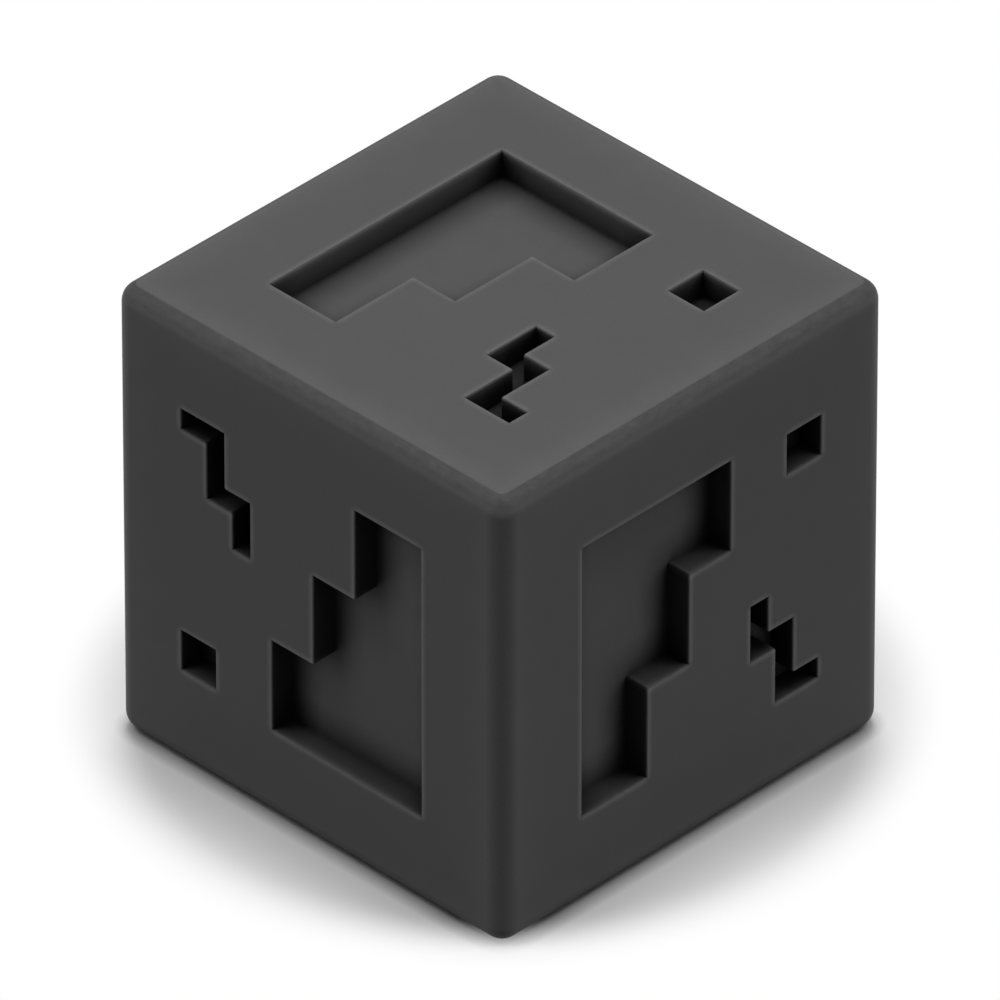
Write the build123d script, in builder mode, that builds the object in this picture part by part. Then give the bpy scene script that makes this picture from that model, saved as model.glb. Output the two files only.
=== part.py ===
from build123d import *

import os

# A material sample cube: one block of sintered nylon with rounded outer edges, and the same set of
# square-cornered test recesses sunk into its top and its four sides. The underside is plain.
# Frame: millimetres, origin at the middle of the underside, +Z up.

# Block
cube_side = 25.0
edge_radius = 1.0  # all twelve outer edges and the eight corners

# What every recess shares
recess_depth = 1.4
corner_radius = 0.15  # standing corners that point into a recess; its own corners are left square
mouth_radius = 0.1  # the slight rounding round each mouth

# Stepped pocket: three bands under one another, each narrower than the one above
pocket_left = -7.3
pocket_top = 7.5
pocket_steps = 3
pocket_width = 9.6
pocket_height = 15.0
pocket_foot_width = 4.2

# Stepped groove: a fine line that goes down and across by turns
groove_width = 1.1
groove_left = 3.7
groove_bottom = -7.6
groove_steps = 2
groove_run = 1.65  # across, from one upright's edge to the next
groove_rise = 3.1  # down, at each upright

# Small square pocket
square_side = 2.2
square_centre = (7.1, 6.0)

# Worked out from the above
pocket_rise = pocket_height / pocket_steps
pocket_run = (pocket_width - pocket_foot_width) / (pocket_steps - 1)
groove_top = groove_bottom + groove_steps * groove_rise
top_plane = Plane(origin=(0, 0, cube_side), x_dir=(1, 0, 0), z_dir=(0, 0, 1))


def side_plane(quarter_turn):
    # The middle of the side that faces +X, turned about the cube's upright axis by quarter turns.
    # Neighbouring sides carry their set the other way up, and opposite sides the same way.
    outward = Vector(1, 0, 0).rotate(Axis.Z, 90 * quarter_turn)
    across = outward.rotate(Axis.Z, 90)
    if quarter_turn % 2:
        across = -across
    return Plane(origin=outward * cube_side / 2 + Vector(0, 0, cube_side / 2), x_dir=across, z_dir=outward)


def draw_stepped_pocket():
    for step in range(pocket_steps):
        with Locations((pocket_left, pocket_top - step * pocket_rise)):
            Rectangle(pocket_width - step * pocket_run, pocket_rise, align=(Align.MIN, Align.MAX))


def draw_stepped_groove():
    for step in range(groove_steps):
        upright_left = groove_left + step * groove_run
        upright_top = groove_top - step * groove_rise
        with Locations((upright_left, upright_top)):
            Rectangle(groove_width, groove_rise, align=(Align.MIN, Align.MAX))
        with Locations((upright_left, upright_top - groove_rise)):
            Rectangle(groove_run + groove_width, groove_width, align=(Align.MIN, Align.MIN))


def draw_square_pocket():
    with Locations(square_centre):
        Rectangle(square_side, square_side)


with BuildPart() as sample_cube:
    Box(cube_side, cube_side, cube_side, align=(Align.CENTER, Align.CENTER, Align.MIN))
    fillet(sample_cube.edges(), radius=edge_radius)

    for face_plane in [top_plane] + [side_plane(turn) for turn in range(4)]:
        with BuildSketch(face_plane):
            draw_stepped_pocket()
            draw_stepped_groove()
            draw_square_pocket()
        extrude(amount=-recess_depth, mode=Mode.SUBTRACT)

        # Round the standing corners first, so that the mouths run round them without a break
        outward_axis = Axis(face_plane.origin, face_plane.z_dir)
        corners = sample_cube.edges(Select.LAST).filter_by(outward_axis)
        fillet(corners.filter_by(Edge.is_interior, reverse=True), radius=corner_radius)
        marked_face = sample_cube.faces().filter_by(outward_axis).sort_by(outward_axis)[-1]
        fillet(marked_face.inner_wires().edges(), radius=mouth_radius)

sample_cube.part.label = "sample_cube"

os.makedirs("parts", exist_ok=True)
export_step(sample_cube.part, "parts/sample_cube.step")
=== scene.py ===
import math

import bpy
import numpy as np
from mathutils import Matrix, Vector


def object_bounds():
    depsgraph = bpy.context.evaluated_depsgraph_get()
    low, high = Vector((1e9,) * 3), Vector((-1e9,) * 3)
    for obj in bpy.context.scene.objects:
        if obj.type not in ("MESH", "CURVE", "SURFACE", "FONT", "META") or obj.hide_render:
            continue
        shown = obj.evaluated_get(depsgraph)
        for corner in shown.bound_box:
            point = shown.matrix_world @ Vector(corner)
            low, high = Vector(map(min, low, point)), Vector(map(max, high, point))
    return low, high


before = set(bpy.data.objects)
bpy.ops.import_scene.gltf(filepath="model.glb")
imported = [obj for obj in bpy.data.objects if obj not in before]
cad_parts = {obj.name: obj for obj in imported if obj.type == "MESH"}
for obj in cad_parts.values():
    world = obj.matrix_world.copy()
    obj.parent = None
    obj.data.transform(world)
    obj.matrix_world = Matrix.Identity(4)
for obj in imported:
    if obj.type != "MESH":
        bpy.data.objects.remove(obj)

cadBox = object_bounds()
cubeLow, cubeHigh = cadBox
cubeMiddle = (cubeLow + cubeHigh) / 2
cubeSide = cubeHigh.x - cubeLow.x
mm = 0.001


def linearFromHex(hexColour):
    # sRGB curve turned back: the low end divided by 12.92, the rest raised to the power 2.4
    channels = [int(hexColour[i:i + 2], 16) / 255 for i in (1, 3, 5)]
    linear = [c / 12.92 if c <= 0.04045 else ((c + 0.055) / 1.055) ** 2.4 for c in channels]
    return (*linear, 1.0)


def addNode(tree, kind, settings=None, inputs=None):
    # settings are the node's own properties; an input is a value, the socket that feeds it, or a node whose
    # first output does
    node = tree.nodes.new(kind)
    for name, value in (settings or {}).items():
        setattr(node, name, value)
    for name, value in (inputs or {}).items():
        if isinstance(value, bpy.types.Node):
            value = value.outputs[0]
        if isinstance(value, bpy.types.NodeSocket):
            tree.links.new(value, node.inputs[name])
        else:
            node.inputs[name].default_value = value
    return node


def newMaterial(name):
    material = bpy.data.materials.new(name)
    material.use_nodes = True
    material.node_tree.nodes.clear()
    return material


noiseRange = {"From Min": 0.25, "From Max": 0.75}   # nearly all of a noise node's values lie between these
nearRays = 4            # how many rays feel for a near wall; the picture's own samples smooth them

nylon = {
    "colour": "#464647",
    "ior": 1.53,            # polyamide 12
    "roughness": 0.55,
    "specular": 0.1,        # well under solid polyamide's 0.5: the open powder skin hardly mirrors
    "grainMm": 0.09,        # the powder is about 0.06 mm; drawn a little coarser so that it shows
    "grainHeightMm": 0.003,
    "grainTone": 0.05,
    "mottleMm": 1.6,        # soft patches where the powder packed a little denser
    "mottleTone": 0.03,
    "crestUp": 0.94,        # the layers start to step down where the rounding has turned 20 degrees
    "crestBlur": 0.015,
    "stepEnd": (0.2, 0.6),  # the normal's upward part where they are gone, and where they are in full
    "stepPaintedShade": 0.41,       # painted shade: how much darker their risers and notches keep it than a smooth rounding
    "speckMm": 0.2,         # across the layers
    "speckSlack": 0.3,      # how much less often they change along the layers
    "stepShadeSpeck": 0.1,       # how much the painted step shade varies in specks
    "rimPaintedHighlight": 0.4,        # painted highlight: how much lighter the cube is at its rims
    "rimMm": 5.0,           # and so far in from the side this has quite faded into the face
    "rimFall": 4.0,         # the power at which it falls off on the way
    "mouthPaintedHighlight": 1.4,      # painted highlight: how much lighter the recesses' mouths and standing corners are, on the sides
    "mouthPaintedHighlightOnTop": 0.7,
    "mouthMm": 0.4,         # how far from the corner that reaches
    "hollowPaintedShade": 0.97,     # painted shade: the recesses' inner corners are darker than the lamps alone leave them
    "hollowMm": 2.0,        # and so far out from them
}


def addPaintedStepShade(tree, place, up):
    # Painted shade where the layers step down a slope: crisply from the crest on, and fading out where the
    # side is nearly upright
    along = addNode(tree, "ShaderNodeMapping", None, {
        "Vector": place, "Scale": (nylon["speckSlack"], nylon["speckSlack"], 1.0)})
    specks = addNode(tree, "ShaderNodeTexNoise", {"noise_dimensions": "3D"}, {
        "Vector": along, "Scale": 1 / (nylon["speckMm"] * mm), "Detail": 2.0, "Roughness": 0.6})
    darker = addNode(tree, "ShaderNodeMapRange", None, {
        "Value": specks, **noiseRange,
        "To Min": nylon["stepPaintedShade"] - nylon["stepShadeSpeck"], "To Max": nylon["stepPaintedShade"] + nylon["stepShadeSpeck"]})
    underCrest = addNode(tree, "ShaderNodeMapRange", {"interpolation_type": "SMOOTHSTEP"}, {
        "Value": up, "From Min": nylon["crestUp"] - nylon["crestBlur"],
        "From Max": nylon["crestUp"] + nylon["crestBlur"], "To Min": 1.0, "To Max": 0.0})
    gone, full = nylon["stepEnd"]
    sloping = addNode(tree, "ShaderNodeMapRange", {"interpolation_type": "SMOOTHSTEP"}, {
        "Value": up, "From Min": gone, "From Max": full, "To Min": 0.0, "To Max": 1.0})
    stepped = addNode(tree, "ShaderNodeMath", {"operation": "MULTIPLY"}, {0: underCrest, 1: sloping})
    dark = addNode(tree, "ShaderNodeMath", {"operation": "MULTIPLY"}, {0: stepped, 1: darker})
    return addNode(tree, "ShaderNodeMath", {"operation": "SUBTRACT"}, {0: 1.0, 1: dark})


def addPaintedRimHighlight(tree, place):
    # Painted highlight near the cube's edges. The least of the three depths under the cube's own planes is 0
    # on a face, and the second least is how far in from the nearest edge the point lies
    fromMiddle = addNode(tree, "ShaderNodeVectorMath", {"operation": "SUBTRACT"}, {0: place, 1: cubeMiddle})
    outward = addNode(tree, "ShaderNodeVectorMath", {"operation": "ABSOLUTE"}, {0: fromMiddle})
    under = addNode(tree, "ShaderNodeVectorMath", {"operation": "SUBTRACT"}, {
        0: cubeHigh - cubeMiddle, 1: outward})
    depths = addNode(tree, "ShaderNodeSeparateXYZ", None, {"Vector": under}).outputs
    lesser = addNode(tree, "ShaderNodeMath", {"operation": "MINIMUM"}, {0: depths["X"], 1: depths["Y"]})
    greater = addNode(tree, "ShaderNodeMath", {"operation": "MAXIMUM"}, {0: depths["X"], 1: depths["Y"]})
    other = addNode(tree, "ShaderNodeMath", {"operation": "MINIMUM"}, {0: greater, 1: depths["Z"]})
    inFromEdge = addNode(tree, "ShaderNodeMath", {"operation": "MAXIMUM"}, {0: lesser, 1: other})
    closeness = addNode(tree, "ShaderNodeMapRange", None, {
        "Value": inFromEdge, "From Min": 0.0, "From Max": nylon["rimMm"] * mm, "To Min": 1.0, "To Max": 0.0})
    nearness = addNode(tree, "ShaderNodeMath", {"operation": "POWER"}, {0: closeness, 1: nylon["rimFall"]})
    return addNode(tree, "ShaderNodeMath", {"operation": "MULTIPLY_ADD"}, {
        0: nearness, 1: nylon["rimPaintedHighlight"], 2: 1.0})


def addPaintedMouthHighlight(tree, up):
    # Painted highlight on outward corners. Rays sent inwards meet the other side of an outward corner, half
    # of them right at its edge
    inside = addNode(tree, "ShaderNodeAmbientOcclusion", {
        "samples": nearRays, "inside": True, "only_local": True}, {"Distance": nylon["mouthMm"] * mm})
    closeness = addNode(tree, "ShaderNodeMapRange", None, {
        "Value": inside.outputs["AO"], "From Min": 0.5, "From Max": 1.0, "To Min": 1.0, "To Max": 0.0})
    lighter = addNode(tree, "ShaderNodeMapRange", None, {
        "Value": up, "From Min": 0.0, "From Max": 1.0,
        "To Min": nylon["mouthPaintedHighlight"], "To Max": nylon["mouthPaintedHighlightOnTop"]})
    return addNode(tree, "ShaderNodeMath", {"operation": "MULTIPLY_ADD"}, {0: closeness, 1: lighter, 2: 1.0})


def addPaintedHollowShade(tree):
    # Painted shade in inner corners. Rays sent outwards meet the walls round an inner corner, half of them
    # right in it
    outside = addNode(tree, "ShaderNodeAmbientOcclusion", {
        "samples": nearRays, "only_local": True}, {"Distance": nylon["hollowMm"] * mm})
    return addNode(tree, "ShaderNodeMapRange", None, {
        "Value": outside.outputs["AO"], "From Min": 0.45, "From Max": 1.0,
        "To Min": 1 - nylon["hollowPaintedShade"], "To Max": 1.0})


def makeSinteredNylon():
    # Polyamide powder, laser sintered and dyed dark grey. The eye gets a matte, slightly chalky skin with a
    # fine even grain, a crisp crest with a darker streaked band of painted shade under it where the layers
    # step down the rounded upper edges, rims and mouths lightened by painted highlights, and painted shade
    # that takes the inner corners nearly black.
    material = newMaterial("sinteredNylonDarkGrey")
    tree = material.node_tree
    where = addNode(tree, "ShaderNodeTexCoord").outputs
    facing = addNode(tree, "ShaderNodeSeparateXYZ", None, {"Vector": where["Normal"]})
    grain = addNode(tree, "ShaderNodeTexNoise", {"noise_dimensions": "3D"}, {
        "Vector": where["Object"], "Scale": 1 / (nylon["grainMm"] * mm), "Detail": 2.0, "Roughness": 0.55})
    mottle = addNode(tree, "ShaderNodeTexNoise", {"noise_dimensions": "3D"}, {
        "Vector": where["Object"], "Scale": 1 / (nylon["mottleMm"] * mm), "Detail": 3.0, "Roughness": 0.5})
    # grain and mottle are the nylon's own tone; the others are painted shade and painted highlights
    tones = [
        addNode(tree, "ShaderNodeMapRange", None, {
            "Value": grain, **noiseRange,
            "To Min": 1 - nylon["grainTone"], "To Max": 1 + nylon["grainTone"]}),
        addNode(tree, "ShaderNodeMapRange", None, {
            "Value": mottle, **noiseRange,
            "To Min": 1 - nylon["mottleTone"], "To Max": 1 + nylon["mottleTone"]}),
        addPaintedStepShade(tree, where["Object"], facing.outputs["Z"]),
        addPaintedRimHighlight(tree, where["Object"]),
        addPaintedMouthHighlight(tree, facing.outputs["Z"]),
        addPaintedHollowShade(tree),
    ]
    tone = tones[0]
    for nextTone in tones[1:]:
        tone = addNode(tree, "ShaderNodeMath", {"operation": "MULTIPLY"}, {0: tone, 1: nextTone})
    colour = addNode(tree, "ShaderNodeVectorMath", {"operation": "SCALE"}, {
        0: linearFromHex(nylon["colour"])[:3], "Scale": tone})
    bump = addNode(tree, "ShaderNodeBump", None, {
        "Height": grain, "Strength": 1.0, "Distance": nylon["grainHeightMm"] * mm})
    skin = addNode(tree, "ShaderNodeBsdfPrincipled", None, {
        "Base Color": colour, "IOR": nylon["ior"], "Roughness": nylon["roughness"],
        "Specular IOR Level": nylon["specular"], "Normal": bump})
    addNode(tree, "ShaderNodeOutputMaterial", None, {"Surface": skin})
    return material


def dressCube():
    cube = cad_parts["sample_cube"]
    material = makeSinteredNylon()
    cube.data.materials.clear()
    cube.data.materials.append(material)
    return cube


shot = {
    "azimuth": 44.7,
    "elevation": 35.5,
    "lensMm": 900,
    "sensorMm": 36,
    "aimHeight": 0.51,           # of the cube's height
    "sidesAcross": 1000 / 545,   # how many cube sides the picture is wide
}

studio = {
    "paper": "#e1e1e1",          # as the camera sees it near the cube
    "paperBounce": "#2d2d2d",    # as it lights the cube: darker, so that the lamps light its sides
    "paperReach": 0.6,           # metres from its middle to its sides
    "hangAway": 10,              # how many cube sides away the lamps stand
    "paintedContactShadowMm": 0.9,            # painted contact shadow: so near the cube the paper is darkened under the rounded lower edges
    "fadeFrom": 0.66,            # from here to there the paper goes over to plain white, in cube sides
    "fadeTo": 0.83,
    "fadeBehind": 0.06,          # the shadow is seen a little farther behind the cube than before it
    "softboxes": {               # degrees from straight up, degrees round from the camera, width, strength
        "leftOverhead": (25, -80, 20, 0.98),
        "rightOverhead": (25, 80, 20, 1.02),
        "backOverhead": (9, 180, 13, 1.3),
        "leftSide": (65, -76, 50, 1.22),
        "rightSide": (65, 76, 50, 1.28),
    },
}


def addSightRays(tree):
    # 1 for a ray that is looked along, straight or by way of a gloss or a glass, and 0 for one that lights
    rays = addNode(tree, "ShaderNodeLightPath")
    mirrored = addNode(tree, "ShaderNodeMath", {"operation": "MAXIMUM"}, {
        0: rays.outputs["Is Glossy Ray"], 1: rays.outputs["Is Transmission Ray"]})
    return addNode(tree, "ShaderNodeMath", {"operation": "MAXIMUM"}, {
        0: rays.outputs["Is Camera Ray"], 1: mirrored.outputs["Value"]}).outputs["Value"]


def directionAt(tilt, turn=0):
    # So many degrees down from straight up, and turned round from the side where the camera stands
    bearing, down = math.radians(shot["azimuth"] - 90 + turn), math.radians(tilt)
    return Vector((math.cos(bearing) * math.sin(down), math.sin(bearing) * math.sin(down), math.cos(down)))


def layPaper():
    reach = studio["paperReach"]
    corners = np.array([(-1, -1, 0), (1, -1, 0), (1, 1, 0), (-1, 1, 0)]) * reach
    corners[:, 2] = cubeLow.z
    mesh = bpy.data.meshes.new("paperFloor")
    mesh.from_pydata(corners.tolist(), [], [(0, 1, 2, 3)])
    floor = bpy.data.objects.new("paperFloor", mesh)
    bpy.context.scene.collection.objects.link(floor)
    material = newMaterial("whitePaper")
    tree = material.node_tree
    place = addNode(tree, "ShaderNodeTexCoord").outputs["Object"]
    under = Vector((cubeMiddle.x, cubeMiddle.y, cubeLow.z))
    middle = under + directionAt(90, 180) * studio["fadeBehind"] * cubeSide
    fromMiddle = addNode(tree, "ShaderNodeVectorMath", {"operation": "DISTANCE"}, {0: place, 1: middle})
    fade = addNode(tree, "ShaderNodeMapRange", {"interpolation_type": "SMOOTHSTEP"}, {
        "Value": fromMiddle.outputs["Value"],
        "From Min": studio["fadeFrom"] * cubeSide, "From Max": studio["fadeTo"] * cubeSide,
        "To Min": 0.0, "To Max": 1.0})
    # Painted contact shadow: the paper's colour is darkened where the cube comes near
    paintedContactShade = addNode(tree, "ShaderNodeAmbientOcclusion", {"samples": nearRays}, {
        "Color": linearFromHex(studio["paper"]), "Distance": studio["paintedContactShadowMm"] * mm})
    shaded = addNode(tree, "ShaderNodeBsdfDiffuse", None, {"Color": paintedContactShade.outputs["Color"]})
    white = addNode(tree, "ShaderNodeEmission", None, {"Color": (1, 1, 1, 1), "Strength": 1.0})
    seen = addNode(tree, "ShaderNodeMixShader", None, {
        "Fac": fade, 1: shaded.outputs["BSDF"], 2: white.outputs["Emission"]})
    bounced = addNode(tree, "ShaderNodeBsdfDiffuse", None, {"Color": linearFromHex(studio["paperBounce"])})
    paper = addNode(tree, "ShaderNodeMixShader", None, {
        "Fac": addSightRays(tree), 1: bounced.outputs["BSDF"], 2: seen.outputs["Shader"]})
    addNode(tree, "ShaderNodeOutputMaterial", None, {"Surface": paper.outputs["Shader"]})
    mesh.materials.append(material)
    return floor


def hangSoftbox(name, tilt, turn, width, strength):
    # A sun lamp that many degrees wide in the sky: only its direction counts, and not where it stands
    towards = directionAt(tilt, turn)
    data = bpy.data.lights.new(name, "SUN")
    data.energy = strength
    data.angle = math.radians(width)
    lamp = bpy.data.objects.new(name, data)
    lamp.rotation_mode = "QUATERNION"
    lamp.rotation_quaternion = towards.to_track_quat("Z", "Y")
    lamp.location = cubeMiddle + towards * cubeSide * studio["hangAway"]
    bpy.context.scene.collection.objects.link(lamp)
    return lamp


def lightStudio():
    for name, placing in studio["softboxes"].items():
        hangSoftbox(name, *placing)
    world = bpy.data.worlds.new("studioAir")
    world.use_nodes = True
    tree = world.node_tree
    tree.nodes.clear()
    white = addNode(tree, "ShaderNodeBackground", None, {
        "Color": (1, 1, 1, 1), "Strength": addSightRays(tree)})
    addNode(tree, "ShaderNodeOutputWorld", None, {"Surface": white})
    bpy.context.scene.world = world


def placeCamera():
    data = bpy.data.cameras.new("productCamera")
    data.lens = shot["lensMm"]
    data.sensor_width = shot["sensorMm"]
    camera = bpy.data.objects.new("productCamera", data)
    back = directionAt(90 - shot["elevation"])
    distance = cubeSide * shot["sidesAcross"] * data.lens / data.sensor_width
    aim = Vector((cubeMiddle.x, cubeMiddle.y, cubeLow.z + cubeSide * shot["aimHeight"]))
    camera.location = aim + back * distance
    camera.rotation_mode = "QUATERNION"
    camera.rotation_quaternion = back.to_track_quat("Z", "Y")
    data.clip_start, data.clip_end = distance * 0.1, distance * 10
    bpy.context.scene.collection.objects.link(camera)
    bpy.context.scene.camera = camera


dressCube()
print("the cube has its nylon finish")
layPaper()
lightStudio()
placeCamera()
print("floor, lamps and camera are in place")
bpy.context.scene.view_settings.view_transform = "Standard"
